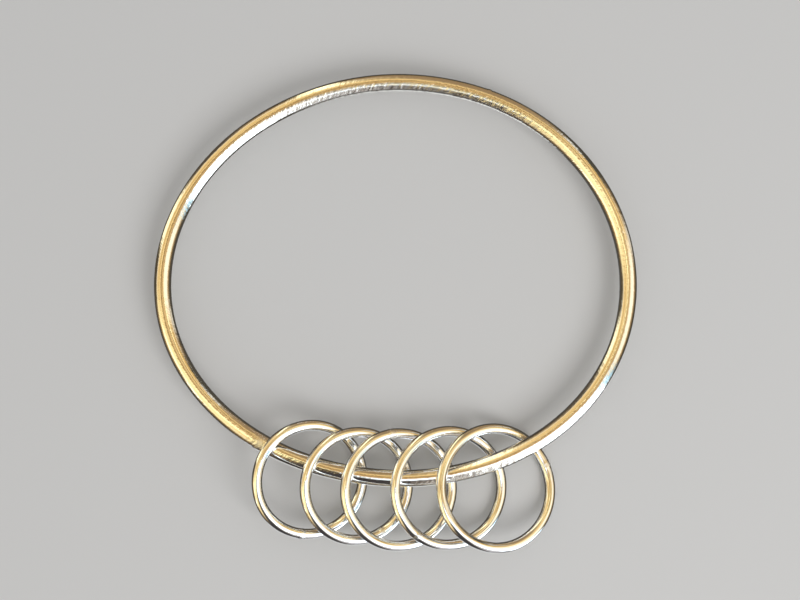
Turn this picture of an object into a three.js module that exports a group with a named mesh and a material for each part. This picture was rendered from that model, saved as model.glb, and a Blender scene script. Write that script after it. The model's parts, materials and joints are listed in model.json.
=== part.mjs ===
// Bangle with five loose rings: an oval of round silver wire, lying flat, and five closed rings of
// thinner wire strung on it. Millimetres, +Z up. The surface that it lies on is z = 0, and the
// origin is under the middle of the whole object's outline.
import * as THREE from 'three';

// The bangle: one wire bent by hand to an oval, its ends soldered together.
const BANGLE_WIRE = 2.5;
const OVAL_HALF_LENGTH = 33.75;
const OVAL_HALF_DEPTH = 28.7;
// Hand bending leaves three slightly flat places, evenly spaced, the first in this direction.
const UNEVENNESS = 0.0082;
const FIRST_FLAT_PLACE = degrees(16);
// It rests on its far side, and on the rings under its near side, so it isn't quite level.
const TILT_ABOUT_X = degrees(-1.75);
const TILT_ABOUT_Y = degrees(-1.4);

// The rings, from left to right, each made by hand and so a little different. Each leans, with its
// left side over the bangle, its right side under it and its lowest point on the surface.
//   across  outer diameter
//   around  direction of its middle from the oval's middle, in degrees from +X
//   out     distance between those two middles
//   lean    its slope, in degrees
//   facing  direction that it slopes down to, in degrees from +X
const RING_WIRE = 1.5;
const RINGS = [
  { name: 'ring_1', across: 17.25, around: -113.3, out: 31.25, lean: 18.3, facing: -7 },
  { name: 'ring_2', across: 17, around: -100.7, out: 30.15, lean: 18.1, facing: 3 },
  { name: 'ring_3', across: 17.65, around: -89.1, out: 30.15, lean: 18.6, facing: 10 },
  { name: 'ring_4', across: 17.8, around: -75.6, out: 30.85, lean: 18.4, facing: 10 },
  { name: 'ring_5', across: 18.5, around: -64.2, out: 33.1, lean: 22, facing: 29 },
];

// Facets: sides of a wire's section, and steps along a wire.
const SECTION_SIDES = 12;
const BANGLE_STEPS = 96;
const RING_STEPS = 36;

const SILVER = { color: 0xd9d4cb, roughness: 0.12, metalness: 1 };

function degrees(angle) {
  return angle * Math.PI / 180;
}

// The wire's centre on the oval, at a turn of t round it.
function ovalPoint(t) {
  const swell = 1 - UNEVENNESS * Math.cos(3 * (t - FIRST_FLAT_PLACE));
  const point = new THREE.Vector2(OVAL_HALF_LENGTH * Math.cos(t), OVAL_HALF_DEPTH * Math.sin(t));
  return point.multiplyScalar(swell);
}

// The direction straight out from the oval, in its plane.
function ovalOutward(t) {
  const step = 0.001;
  const along = ovalPoint(t + step).sub(ovalPoint(t - step)).normalize();
  return new THREE.Vector2(along.y, -along.x);
}

// A closed loop of round wire, with the flats of its section facing up, down, in and out, and its
// diameter measured across them.
function wireLoop(wire, steps, centreAt, outwardAt) {
  const loop = new THREE.TorusGeometry(1, 0.5, SECTION_SIDES, steps);
  const halfSide = Math.PI / SECTION_SIDES;
  const cornerRadius = wire / 2 / Math.cos(halfSide);
  const { position, uv } = loop.attributes;
  for (let i = 0; i < position.count; i += 1) {
    const t = (uv.getX(i) % 1) * 2 * Math.PI;
    const corner = (uv.getY(i) % 1) * 2 * Math.PI + halfSide;
    const place = centreAt(t).addScaledVector(outwardAt(t), cornerRadius * Math.cos(corner));
    position.setXYZ(i, place.x, place.y, cornerRadius * Math.sin(corner));
  }
  loop.computeVertexNormals();
  return loop;
}

function silver() {
  return new THREE.MeshStandardMaterial(SILVER);
}

// Lifts a piece until its lowest corner is on the surface.
function standOnSurface(piece) {
  const lowest = new THREE.Box3().setFromObject(piece, true).min.z;
  piece.position.z -= lowest;
}

function makeBangle() {
  const bangle = new THREE.Mesh(wireLoop(BANGLE_WIRE, BANGLE_STEPS, ovalPoint, ovalOutward), silver());
  bangle.name = 'bangle';
  bangle.rotation.set(TILT_ABOUT_X, TILT_ABOUT_Y, 0);
  standOnSurface(bangle);
  return bangle;
}

function makeRing({ name, across, around, out, lean, facing }) {
  const radius = (across - RING_WIRE) / 2;
  const outwardAt = (t) => new THREE.Vector2(Math.cos(t), Math.sin(t));
  const centreAt = (t) => outwardAt(t).multiplyScalar(radius);
  const ring = new THREE.Mesh(wireLoop(RING_WIRE, RING_STEPS, centreAt, outwardAt), silver());
  ring.name = name;
  ring.position.set(out * Math.cos(degrees(around)), out * Math.sin(degrees(around)), 0);
  ring.rotation.set(0, degrees(lean), degrees(facing), 'ZYX');
  standOnSurface(ring);
  return ring;
}

// Moves everything so that the origin is under the middle of the outline.
function centreOverOrigin(group) {
  const middle = new THREE.Box3().setFromObject(group, true).getCenter(new THREE.Vector3());
  group.position.set(-middle.x, -middle.y, 0);
}

const bangleWithRings = new THREE.Group();
bangleWithRings.add(makeBangle(), ...RINGS.map(makeRing));
centreOverOrigin(bangleWithRings);

export default bangleWithRings;
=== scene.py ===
"""A silver bangle with five loose rings, lying on a pale surface.

Each CAD wire is replaced by a fine mesh of the same wire: hand-bent, planished, soldered and polished.
Everything is in metres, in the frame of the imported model, where the object rests on z = 0.
"""
import json
import math

import bpy
import numpy as np
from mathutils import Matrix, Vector


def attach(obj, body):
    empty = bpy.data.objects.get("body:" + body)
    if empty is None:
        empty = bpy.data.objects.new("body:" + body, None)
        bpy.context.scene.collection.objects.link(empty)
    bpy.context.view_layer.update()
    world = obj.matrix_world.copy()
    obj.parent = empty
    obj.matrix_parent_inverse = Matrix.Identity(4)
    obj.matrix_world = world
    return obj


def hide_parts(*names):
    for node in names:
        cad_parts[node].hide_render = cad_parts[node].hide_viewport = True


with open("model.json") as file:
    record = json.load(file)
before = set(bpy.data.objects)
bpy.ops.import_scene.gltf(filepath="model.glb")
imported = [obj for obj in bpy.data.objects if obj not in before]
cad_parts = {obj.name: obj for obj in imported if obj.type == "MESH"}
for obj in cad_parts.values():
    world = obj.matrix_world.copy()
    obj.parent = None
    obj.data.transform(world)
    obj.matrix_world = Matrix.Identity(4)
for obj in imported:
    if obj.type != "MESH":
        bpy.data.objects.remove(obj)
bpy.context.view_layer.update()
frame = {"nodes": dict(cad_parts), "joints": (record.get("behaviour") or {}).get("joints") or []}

MM = 0.001


# ---------------------------------------------------------------- the wires, as the CAD has them

def read_wire(name):
    """The plane, centre line and wire radius of a CAD loop, measured on its mesh."""
    corners = np.array([v.co for v in frame["nodes"][name].data.vertices], float)
    corners = np.unique(corners.round(8), axis=0)
    centre = corners.mean(0)
    normal = np.linalg.svd(corners - centre)[2][2]
    normal *= np.sign(normal[2])
    across = np.cross([0.0, 1.0, 0.0], normal)
    across /= np.linalg.norm(across)
    away = np.cross(normal, across)
    flat = (corners - centre) @ np.stack([across, away, normal], 1)
    turn = np.arctan2(flat[:, 1], flat[:, 0])
    reach = np.hypot(flat[:, 0], flat[:, 1])
    series = np.linalg.lstsq(harmonics(turn), reach, rcond=None)[0]
    return {
        "centre": centre, "across": across, "away": away, "normal": normal,
        "series": series, "radius": np.abs(flat[:, 2]).max(),
    }


def harmonics(turn, highest=6):
    """Columns 1, cos t, sin t, cos 2t and so on. They add up to how far a closed outline is from its
    middle, at each angle t."""
    columns = [np.ones_like(turn)]
    for k in range(1, highest + 1):
        columns += [np.cos(k * turn), np.sin(k * turn)]
    return np.stack(columns, 1)


# ---------------------------------------------------------------- hand-made unevenness

# How much the height of a blob of solder varies over it.
SOLDER_UNEVENNESS = 0.4


def smooth_noise(rng, shape, spacing, size, slant=0.0):
    """Noise with unit spread on a grid that repeats both ways. size is how long its marks are, along
    and round the wire, and slant turns them."""
    along = np.fft.fftfreq(shape[0], spacing[0])[:, None]
    around = np.fft.fftfreq(shape[1], spacing[1])[None, :]
    first = along * math.cos(slant) + around * math.sin(slant)
    second = around * math.cos(slant) - along * math.sin(slant)
    keep = np.exp(-2 * math.pi ** 2 * ((first * size[0]) ** 2 + (second * size[1]) ** 2))
    keep[0, 0] = 0
    noise = np.fft.ifft2(np.fft.fft2(rng.standard_normal(shape)) * keep).real
    return noise / noise.std()


def near(angle, middle, width):
    """1 at one place round a circle, falling smoothly to 0 over width. All in degrees."""
    gap = (angle - middle + 180) % 360 - 180
    return np.exp(-0.5 * (gap / width) ** 2)


def make_wire(name, wire, steps, sides, finish, seed):
    """A closed round wire along the CAD's centre line, with the marks that finish asks for. Round the
    wire, 0 degrees is the loop's outer side and 90 is its top."""
    rng = np.random.default_rng(seed)
    shape = (steps, sides)
    turn = np.linspace(0, 360, steps, endpoint=False)
    around = np.linspace(0, 360, sides, endpoint=False)
    angle = np.radians(turn)
    reach = harmonics(angle) @ wire["series"]
    line = (np.cos(angle) * reach)[:, None] * wire["across"]
    line += (np.sin(angle) * reach)[:, None] * wire["away"]
    line += wire["centre"]
    ahead = np.roll(line, -1, 0) - np.roll(line, 1, 0)
    ahead /= np.linalg.norm(ahead, axis=1)[:, None]
    outward = np.cross(ahead, wire["normal"])
    step_length = np.linalg.norm(np.roll(line, -1, 0) - line, axis=1).mean()
    spacing = (step_length, wire["radius"] * 2 * math.pi / sides)

    kink = (finish["kink_length"], 0)
    line = line + outward * smooth_noise(rng, (steps, 1), spacing, kink) * finish["kink"]
    line = line + wire["normal"] * smooth_noise(rng, (steps, 1), spacing, kink) * finish["kink"] / 2

    radius = np.full(shape, wire["radius"] * finish["fullness"])
    radius += finish["swell"] * smooth_noise(rng, shape, spacing, finish["swell_size"])
    worked = np.full(shape, finish["worked_all_over"])
    for at, side, length, width, much in finish["worked"]:
        worked += much * near(turn, at, length)[:, None] * near(around, side, width)[None, :]
    radius += finish["mark_depth"] * worked * smooth_noise(
        rng, shape, spacing, finish["mark_size"], math.radians(finish["mark_slant"]))
    joint = np.zeros(shape)
    for at, side, length, width, height in finish["solder"]:
        length_turned = math.degrees(length / reach.mean())
        blob = near(turn, at, length_turned)[:, None] * near(around, side, width)[None, :]
        rough = 1 + SOLDER_UNEVENNESS * smooth_noise(rng, shape, spacing, (length / 2, length / 2))
        radius += height * blob * rough
        joint = np.maximum(joint, blob)

    round_wire = np.radians(around)
    points = (
        line[:, None, :]
        + (radius * np.cos(round_wire))[:, :, None] * outward[:, None, :]
        + (radius * np.sin(round_wire))[:, :, None] * wire["normal"]
    )
    mesh = sweep_mesh(name, points, spacing)
    for key, value in (("joint", joint), ("worked", worked)):
        layer = mesh.attributes.new(key, "FLOAT", "POINT")
        layer.data.foreach_set("value", value.ravel().astype(np.float32))
    piece = bpy.data.objects.new(name, mesh)
    bpy.context.scene.collection.objects.link(piece)
    return piece


def sweep_mesh(name, points, spacing):
    """Quads over a grid of points that closes on itself both ways. The UV map is in millimetres:
    along the wire, then round it."""
    steps, sides = points.shape[:2]
    step, side = np.meshgrid(np.arange(steps), np.arange(sides), indexing="ij")
    quads = np.stack([
        step * sides + side,
        (step + 1) % steps * sides + side,
        (step + 1) % steps * sides + (side + 1) % sides,
        step * sides + (side + 1) % sides,
    ], -1).reshape(-1, 4)
    mesh = bpy.data.meshes.new(name)
    mesh.from_pydata(points.reshape(-1, 3).tolist(), [], quads.tolist())
    along = np.stack([step, step + 1, step + 1, step], -1) * spacing[0] / MM
    around = np.stack([side, side, side + 1, side + 1], -1) * spacing[1] / MM
    uv = np.stack([along, around], -1).reshape(-1, 2)
    mesh.uv_layers.new(name="wire_mm").data.foreach_set("uv", uv.ravel().astype(np.float32))
    mesh.polygons.foreach_set("use_smooth", np.ones(len(quads), bool))
    mesh.update()
    return mesh


# ---------------------------------------------------------------- materials

# Features of the surface, in millimetres along and round the wire: fine lines left by drawing the wire,
# and the slanting marks of hammer and file.
DRAWN_LINE_SIZE, DRAWN_LINE_SLANT, DRAWN_LINE_DETAIL = (9.0, 0.25), 0, 4.0
MARK_SIZE, MARK_SLANT, MARK_DETAIL = (0.16, 0.75), -40, 3.0
# Worn patches: features per metre, and the noise values between which the finish changes.
WEAR_SCALE, WEAR_DETAIL, WEAR_ROUGHNESS = 260, 5, 0.62
WEAR_TONE_RANGE = (0.3, 0.72)
WEAR_SHINE_RANGE = (0.3, 0.75)
BRIGHTEST_ROUGHNESS, WORN_ROUGHNESS = 0.045, 0.13
SOLDER_ROUGHNESS, WORKED_ROUGHNESS = 0.25, 0.12


def polished_silver(name, colours, mark_bump, line_bump):
    """Polished silver: faint drawn lines along the wire, hammer and file marks across it, worn patches.
    The bumps are in millimetres."""
    material = bpy.data.materials.new(name)
    material.use_nodes = True
    nodes, links = material.node_tree.nodes, material.node_tree.links
    shader = nodes["Principled BSDF"]
    shader.inputs["Metallic"].default_value = 1.0

    place = nodes.new("ShaderNodeUVMap")
    place.uv_map = "wire_mm"
    lines = stretched_noise(
        nodes, links, place.outputs[0], DRAWN_LINE_SIZE, DRAWN_LINE_SLANT, DRAWN_LINE_DETAIL)
    marks = stretched_noise(nodes, links, place.outputs[0], MARK_SIZE, MARK_SLANT, MARK_DETAIL)
    body = nodes.new("ShaderNodeTexCoord")
    wear = nodes.new("ShaderNodeTexNoise")
    wear.inputs["Scale"].default_value = WEAR_SCALE
    wear.inputs["Detail"].default_value = WEAR_DETAIL
    wear.inputs["Roughness"].default_value = WEAR_ROUGHNESS
    links.new(body.outputs["Object"], wear.inputs["Vector"])

    tone = ramp(nodes, links, wear.outputs["Fac"], tuple(zip(WEAR_TONE_RANGE, colours)))
    links.new(tone, shader.inputs["Base Color"])

    joint = nodes.new("ShaderNodeAttribute")
    joint.attribute_name = "joint"
    worked = nodes.new("ShaderNodeAttribute")
    worked.attribute_name = "worked"
    shine = nodes.new("ShaderNodeMapRange")
    shine.inputs["From Min"].default_value = WEAR_SHINE_RANGE[0]
    shine.inputs["From Max"].default_value = WEAR_SHINE_RANGE[1]
    shine.inputs["To Min"].default_value = BRIGHTEST_ROUGHNESS
    shine.inputs["To Max"].default_value = WORN_ROUGHNESS
    links.new(wear.outputs["Fac"], shine.inputs["Value"])
    duller = math_node(
        nodes, links, "MULTIPLY_ADD", joint.outputs["Fac"], SOLDER_ROUGHNESS, shine.outputs[0])
    dullest = math_node(nodes, links, "MULTIPLY_ADD", worked.outputs["Fac"], WORKED_ROUGHNESS, duller)
    links.new(dullest, shader.inputs["Roughness"])

    fine = bump(nodes, links, lines, line_bump * MM, None)
    deep = math_node(nodes, links, "MULTIPLY", marks, worked.outputs["Fac"])
    both = bump(nodes, links, deep, mark_bump * MM, fine)
    links.new(both, shader.inputs["Normal"])
    return material


def stretched_noise(nodes, links, vector, size, slant, detail):
    """Noise over the wire's UV map, with features that long and wide in millimetres, turned by slant
    in degrees."""
    place = nodes.new("ShaderNodeMapping")
    place.vector_type = "TEXTURE"
    place.inputs["Rotation"].default_value = (0, 0, math.radians(slant))
    place.inputs["Scale"].default_value = (*size, 1)
    links.new(vector, place.inputs["Vector"])
    noise = nodes.new("ShaderNodeTexNoise")
    noise.inputs["Scale"].default_value = 1.0
    noise.inputs["Detail"].default_value = detail
    links.new(place.outputs[0], noise.inputs["Vector"])
    return noise.outputs["Fac"]


def math_node(nodes, links, operation, *values):
    """A Math node on those values, each a number or another node's output."""
    node = nodes.new("ShaderNodeMath")
    node.operation = operation
    for socket, value in zip(node.inputs, values):
        if isinstance(value, (int, float)):
            socket.default_value = value
        else:
            links.new(value, socket)
    return node.outputs[0]


def ramp(nodes, links, value, stops):
    """A colour ramp with the given (place, colour) stops."""
    node = nodes.new("ShaderNodeValToRGB")
    while len(node.color_ramp.elements) < len(stops):
        node.color_ramp.elements.new(1.0)
    for element, (place, colour) in zip(node.color_ramp.elements, stops):
        element.position = place
        element.color = (*colour, 1)
    links.new(value, node.inputs[0])
    return node.outputs["Color"]


def bump(nodes, links, height, distance, under):
    """Bump of that depth in metres, over the normal under it if there is one."""
    node = nodes.new("ShaderNodeBump")
    node.inputs["Distance"].default_value = distance
    links.new(height, node.inputs["Height"])
    if under is not None:
        links.new(under, node.inputs["Normal"])
    return node.outputs["Normal"]


# ---------------------------------------------------------------- the camera, stage and lights

CAMERA_HEIGHT = 200 * MM
CAMERA_LENS = 61.35
CAMERA_SENSOR = 36
# How far the camera stands from the middle of the oval, along X and Y.
CAMERA_ASIDE = (0.6 * MM, -2.8 * MM)


def make_camera():
    """Straight above the oval, as a phone is held, with the strung rings towards the lower edge."""
    middle = Vector(frame["joints"][0]["pos_m"])
    data = bpy.data.cameras.new("camera")
    data.lens = CAMERA_LENS
    data.sensor_width = CAMERA_SENSOR
    data.clip_start = 5 * MM
    camera = bpy.data.objects.new("camera", data)
    camera.location = (middle.x + CAMERA_ASIDE[0], middle.y + CAMERA_ASIDE[1], CAMERA_HEIGHT)
    bpy.context.scene.collection.objects.link(camera)
    bpy.context.scene.camera = camera


STAGE_COLOUR = (0.62, 0.615, 0.605)
STAGE_ROUGHNESS = 0.9
STAGE_SPECULAR = 0.1


def make_stage():
    """A plain pale floor that curves up into a backdrop all round. The metal doesn't mirror it. It is
    square to the axis that the rings travel round, and just under them, so that a ring that has gone
    to the far side doesn't sink into it."""
    # The flat part's radius, the bend's radius, the wall's height, and how many sides it all has.
    flat, bend, top, sides = 0.45, 0.3, 0.9, 96
    rise = np.linspace(0, math.pi / 2, 17)
    reach = np.concatenate([[flat / 3, flat * 2 / 3], flat + bend * np.sin(rise), [flat + bend]])
    height = np.concatenate([[0, 0], bend * (1 - np.cos(rise)), [top]])
    turn = np.linspace(0, 2 * math.pi, sides, endpoint=False)
    rings = np.stack([
        np.outer(reach, np.cos(turn)), np.outer(reach, np.sin(turn)), np.outer(height, np.ones(sides)),
    ], -1).reshape(-1, 3)
    corners = [(0, 0, 0), *rings.tolist()]
    faces = [(0, 1 + k, 1 + (k + 1) % sides) for k in range(sides)]
    for ring in range(len(reach) - 1):
        inner, outer = 1 + ring * sides, 1 + (ring + 1) * sides
        for k in range(sides):
            after = (k + 1) % sides
            faces.append((inner + k, outer + k, outer + after, inner + after))
    mesh = bpy.data.meshes.new("stage")
    mesh.from_pydata(corners, [], faces)
    mesh.polygons.foreach_set("use_smooth", np.ones(len(faces), bool))
    material = bpy.data.materials.new("pale_surface")
    material.use_nodes = True
    shader = material.node_tree.nodes["Principled BSDF"]
    shader.inputs["Base Color"].default_value = (*STAGE_COLOUR, 1)
    shader.inputs["Roughness"].default_value = STAGE_ROUGHNESS
    shader.inputs["Specular IOR Level"].default_value = STAGE_SPECULAR
    mesh.materials.append(material)
    stage = bpy.data.objects.new("stage", mesh)
    axis = Vector(frame["joints"][0]["axis"]).normalized()
    lowest = min(
        axis.dot(node.matrix_world @ corner.co)
        for node in frame["nodes"].values() for corner in node.data.vertices)
    stage.rotation_euler = axis.to_track_quat("Z", "Y").to_euler()
    stage.location = axis * lowest
    stage.visible_glossy = stage.visible_diffuse = stage.visible_shadow = False
    bpy.context.scene.collection.objects.link(stage)


def make_light(name, towards, height, distance, size, power):
    """A soft square light that faces the object from a compass direction in degrees from +X, and a
    height in degrees above the surface. The metal doesn't mirror it."""
    data = bpy.data.lights.new(name, "AREA")
    data.size = size
    data.energy = power
    light = bpy.data.objects.new(name, data)
    turn, rise = math.radians(towards), math.radians(height)
    place = Vector((math.cos(turn) * math.cos(rise), math.sin(turn) * math.cos(rise), math.sin(rise)))
    light.location = place * distance
    light.rotation_euler = place.to_track_quat("Z", "Y").to_euler()
    light.visible_camera = light.visible_glossy = False
    bpy.context.scene.collection.objects.link(light)


# What the metal mirrors: (azimuth, elevation, half width, half height, softness, colour), in degrees
# from +X and above the surface. Later ones lie over earlier ones.
ROOM = (
    (0, 17, 180, 4, 3, (0.95, 0.80, 0.55)),
    (75, 15, 24, 30, 12, (0.33, 0.22, 0.11)),
    (42, 0, 10, 24, 6, (0.07, 0.065, 0.05)),
    (48, 20, 1.6, 16, 1, (1.1, 1.1, 1.0)),
    (16, -5, 5, 14, 3, (0.75, 0.68, 0.55)),
    (137, -10, 8, 24, 4, (0.09, 0.07, 0.05)),
    (109, 14, 4, 28, 1.5, (1.9, 1.75, 1.1)),
    (157, 5, 8, 26, 3, (1.4, 1.25, 0.8)),
    (175, -14, 9, 24, 4, (0.08, 0.065, 0.04)),
    (205, 44, 22, 34, 8, (1.20, 0.98, 0.48)),
    (220, 68, 15, 8, 5, (1.7, 1.5, 0.8)),
    (199, 27, 8, 10, 3, (1.6, 1.45, 0.9)),
    (213, 10, 3, 12, 2, (1.8, 1.7, 1.3)),
    (356, 44, 20, 26, 7, (1.25, 1.12, 0.85)),
    (257, 25, 20, 60, 7, (0.05, 0.045, 0.045)),
    (258, -62, 27, 18, 6, (0.95, 0.97, 0.97)),
    (286, 26, 10, 50, 5, (0.62, 0.60, 0.60)),
    (308, 66, 22, 12, 8, (1.15, 1.02, 0.80)),
    (313, 12, 16, 42, 2, (3.0, 3.3, 3.5)),
    (317, 62, 9, 12, 6, (3.0, 3.2, 3.3)),
    (331, 26, 3.5, 42, 1.5, (0.50, 0.82, 1.0)),
)

# A narrow brown edge that rings the room overhead: azimuth, elevation, radius, half width, softness.
ROOM_EDGE = (45, 80, 18, 3, 1.4)
ROOM_EDGE_COLOUR = (0.18, 0.10, 0.03)
# The room's colour from straight down (0) to straight up (1).
ROOM_BY_HEIGHT = (
    (0.0, (0.11, 0.105, 0.10)), (0.37, (0.07, 0.06, 0.045)), (0.47, (0.26, 0.17, 0.08)),
    (0.56, (0.58, 0.40, 0.19)), (0.64, (0.98, 0.71, 0.32)), (0.86, (0.96, 0.67, 0.28)),
    (0.92, (0.76, 0.50, 0.21)),
)
# Level bands in it: features round the room, features from floor to ceiling, and what each noise
# value multiplies the colour by.
STREAKS_ROUND, STREAKS_UP, STREAK_DETAIL = 0.8, 10.0, 3
STREAK_TONES = (
    (0.37, (0.48, 0.36, 0.20)), (0.46, (0.93, 0.90, 0.82)), (0.55, (1.0, 1.02, 1.04)),
    (0.66, (1.22, 1.38, 1.7)),
)
# What everything but the metal's mirror sees.
PLAIN_LIGHT = (0.6, 0.6, 0.6)


def make_room():
    """The world: a warm, low-lit room with a tall window in what the metal mirrors, and plain white
    light on everything else."""
    world = bpy.data.worlds.new("room")
    bpy.context.scene.world = world
    world.use_nodes = True
    nodes, links = world.node_tree.nodes, world.node_tree.links
    direction = nodes.new("ShaderNodeTexCoord").outputs["Generated"]
    split = nodes.new("ShaderNodeSeparateXYZ")
    links.new(direction, split.inputs[0])
    level = nodes.new("ShaderNodeVectorMath")
    level.operation = "MULTIPLY"
    level.inputs[1].default_value = (1, 1, 0)
    links.new(direction, level.inputs[0])
    bearing = nodes.new("ShaderNodeVectorMath")
    bearing.operation = "NORMALIZE"
    links.new(level.outputs[0], bearing.inputs[0])
    elevation = math_node(nodes, links, "ARCSINE", split.outputs["Z"])
    share = math_node(nodes, links, "MULTIPLY_ADD", elevation, 1 / math.pi, 0.5)
    colour = ramp(nodes, links, share, ROOM_BY_HEIGHT)
    colour = streaks(nodes, links, colour, bearing.outputs[0], elevation)
    azimuth, height, radius, half_width, soft = ROOM_EDGE
    apart = angle_from(nodes, links, direction, azimuth, height)
    apart = math_node(nodes, links, "SUBTRACT", apart, math.radians(radius))
    apart = math_node(nodes, links, "ABSOLUTE", apart)
    colour = paint(nodes, links, colour, fade(nodes, links, apart, half_width, soft), ROOM_EDGE_COLOUR)
    for azimuth, height, half_width, half_height, soft, light in ROOM:
        aside = angle_from(nodes, links, bearing.outputs[0], azimuth, 0)
        above = math_node(nodes, links, "SUBTRACT", elevation, math.radians(height))
        above = math_node(nodes, links, "ABSOLUTE", above)
        across = fade(nodes, links, aside, half_width, soft)
        upward = fade(nodes, links, above, half_height, soft)
        mask = math_node(nodes, links, "MULTIPLY", across, upward)
        colour = paint(nodes, links, colour, mask, light)
    path = nodes.new("ShaderNodeLightPath")
    mix = nodes.new("ShaderNodeMix")
    mix.data_type = "RGBA"
    links.new(path.outputs["Is Glossy Ray"], mix.inputs["Factor"])
    mix.inputs["A"].default_value = (*PLAIN_LIGHT, 1)
    links.new(colour, mix.inputs["B"])
    links.new(mix.outputs["Result"], nodes["Background"].inputs["Color"])


def angle_from(nodes, links, direction, azimuth, elevation):
    """The angle in radians between a direction and the one at that azimuth and elevation."""
    turn, rise = math.radians(azimuth), math.radians(elevation)
    towards = nodes.new("ShaderNodeVectorMath")
    towards.operation = "DOT_PRODUCT"
    towards.inputs[1].default_value = (
        math.cos(turn) * math.cos(rise), math.sin(turn) * math.cos(rise), math.sin(rise))
    links.new(direction, towards.inputs[0])
    return math_node(nodes, links, "ARCCOSINE", towards.outputs["Value"])


def paint(nodes, links, under, mask, colour):
    """The colour under, covered by another where mask is 1."""
    mix = nodes.new("ShaderNodeMix")
    mix.data_type = "RGBA"
    links.new(mask, mix.inputs["Factor"])
    links.new(under, mix.inputs["A"])
    mix.inputs["B"].default_value = (*colour, 1)
    return mix.outputs["Result"]


def streaks(nodes, links, colour, bearing, elevation):
    """The room's colour with level darker and lighter bands, as shelves, beams and edges make."""
    place = nodes.new("ShaderNodeVectorMath")
    place.operation = "MULTIPLY_ADD"
    place.inputs[1].default_value = (STREAKS_ROUND, STREAKS_ROUND, 0)
    links.new(bearing, place.inputs[0])
    rise = nodes.new("ShaderNodeCombineXYZ")
    links.new(math_node(nodes, links, "MULTIPLY", elevation, STREAKS_UP), rise.inputs["Z"])
    links.new(rise.outputs[0], place.inputs[2])
    noise = nodes.new("ShaderNodeTexNoise")
    noise.inputs["Scale"].default_value = 1.0
    noise.inputs["Detail"].default_value = STREAK_DETAIL
    links.new(place.outputs[0], noise.inputs["Vector"])
    shade = ramp(nodes, links, noise.outputs["Fac"], STREAK_TONES)
    mix = nodes.new("ShaderNodeMix")
    mix.data_type = "RGBA"
    mix.blend_type = "MULTIPLY"
    mix.inputs["Factor"].default_value = 1.0
    links.new(colour, mix.inputs["A"])
    links.new(shade, mix.inputs["B"])
    return mix.outputs["Result"]


def fade(nodes, links, value, half, soft):
    """1 where value, in radians, is well under half, and 0 where it is well over, in degrees."""
    node = nodes.new("ShaderNodeMapRange")
    node.interpolation_type = "SMOOTHSTEP"
    node.inputs["From Min"].default_value = math.radians(half + soft)
    node.inputs["From Max"].default_value = math.radians(half - soft)
    links.new(value, node.inputs["Value"])
    return node.outputs[0]


CARD_HEIGHT = 100 * MM


def make_card(name, start, end, half_width, colour):
    """A level glowing card that only the metal mirrors, from above one place to above another."""
    start, end = Vector(start), Vector(end)
    aside = Vector((start.y - end.y, end.x - start.x)).normalized() * half_width
    corners = (start - aside, end - aside, end + aside, start + aside)
    mesh = bpy.data.meshes.new(name)
    mesh.from_pydata([(c.x, c.y, CARD_HEIGHT) for c in corners], [], [(0, 1, 2, 3)])
    material = bpy.data.materials.new(name)
    material.use_nodes = True
    nodes = material.node_tree.nodes
    nodes.remove(nodes["Principled BSDF"])
    glow = nodes.new("ShaderNodeEmission")
    glow.inputs["Color"].default_value = (*colour, 1)
    material.node_tree.links.new(glow.outputs[0], nodes["Material Output"].inputs["Surface"])
    mesh.materials.append(material)
    card = bpy.data.objects.new(name, mesh)
    card.visible_camera = card.visible_diffuse = card.visible_shadow = False
    bpy.context.scene.collection.objects.link(card)


# ---------------------------------------------------------------- putting it together

BANGLE_STEPS, BANGLE_SIDES, BANGLE_SEED = 2400, 36, 7
RING_STEPS, RING_SIDES, FIRST_RING_SEED = 420, 32, 11
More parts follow.
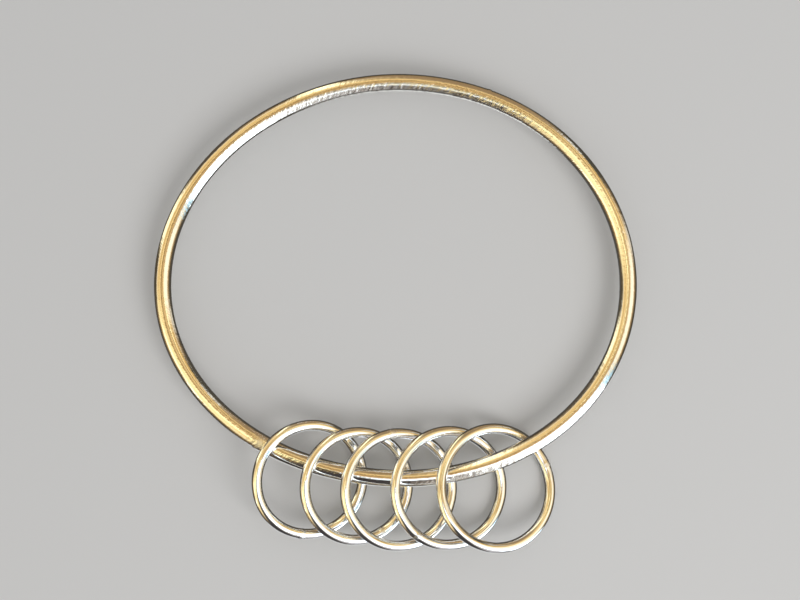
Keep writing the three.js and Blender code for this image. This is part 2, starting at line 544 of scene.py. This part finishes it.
# worked: hammered and filed places, (place round the loop, side of the wire, length, width, how much).
# solder: (place round the loop, side of the wire, length in metres, width in degrees, height).
BANGLE_FINISH = {
    "fullness": 0.992,
    "kink": 0.03 * MM, "kink_length": 7 * MM,
    "swell": 0.010 * MM, "swell_size": (5 * MM, 0.5 * MM),
    "worked_all_over": 0.2,
    "worked": ((84, 150, 24, 32, 1.0), (-66, 35, 7, 30, 0.8), (230, 60, 2, 60, 0.5)),
    "mark_size": (0.10 * MM, 0.35 * MM), "mark_slant": -40, "mark_depth": 0.015 * MM,
    "solder": ((230, 70, 0.4 * MM, 60, 0.035 * MM), (63.5, 15, 0.2 * MM, 14, 0.09 * MM)),
}
RING_FINISH = {
    "fullness": 0.992,
    "kink": 0.02 * MM, "kink_length": 3 * MM,
    "swell": 0.008 * MM, "swell_size": (2 * MM, 0.4 * MM),
    "worked_all_over": 0.25, "worked": (),
    "mark_size": (0.2 * MM, 0.3 * MM), "mark_slant": 20, "mark_depth": 0.006 * MM,
}
# Where each ring was soldered, in degrees from +X round it, and the rest of that joint as above.
RING_SOLDER_SHAPE = (60, 0.3 * MM, 90, 0.05 * MM)
RING_SOLDER = {"ring_1": -99, "ring_2": -62, "ring_3": 97, "ring_4": -128, "ring_5": 20}


def add_piece(node, finish, steps, sides, seed, material):
    """The fine wire that stands in for a CAD node and rides on its body."""
    piece = make_wire(node + "_wire", read_wire(node), steps, sides, finish, seed)
    piece.data.materials.append(material)
    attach(piece, node)
    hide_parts(node)


bpy.context.scene.view_settings.view_transform = "Standard"
make_camera()
make_stage()
make_room()
make_light("soft_light", towards=315, height=50, distance=0.6, size=0.35, power=1.6)
# Bright and dark things close above, nearer than the room: where they start, where they end, half width.
make_card("white_card", (-0.014, -0.044), (0.085, -0.056), 0.019, (1.35, 1.45, 1.55))
make_card("brown_card", (-0.036, -0.044), (-0.014, -0.044), 0.019, (0.12, 0.07, 0.025))
make_card("left_gold_card", (-0.058, -0.046), (-0.020, -0.014), 0.009, (1.5, 1.3, 0.68))
make_card("right_gold_card", (0.012, 0.008), (0.040, 0.030), 0.007, (1.4, 1.22, 0.66))

bangle_silver = polished_silver(
    "bangle_silver", ((0.91, 0.885, 0.84), (0.96, 0.95, 0.92)), mark_bump=0.06, line_bump=0.003)
ring_silver = polished_silver(
    "ring_silver", ((0.89, 0.90, 0.91), (0.96, 0.97, 0.99)), mark_bump=0.02, line_bump=0.003)
add_piece(
    "bangle", BANGLE_FINISH, BANGLE_STEPS, BANGLE_SIDES, BANGLE_SEED, bangle_silver)
for seed, (ring, place) in enumerate(RING_SOLDER.items(), FIRST_RING_SEED):
    finish = {**RING_FINISH, "solder": ((place, *RING_SOLDER_SHAPE),)}
    add_piece(ring, finish, RING_STEPS, RING_SIDES, seed, ring_silver)

bpy.context.view_layer.update()
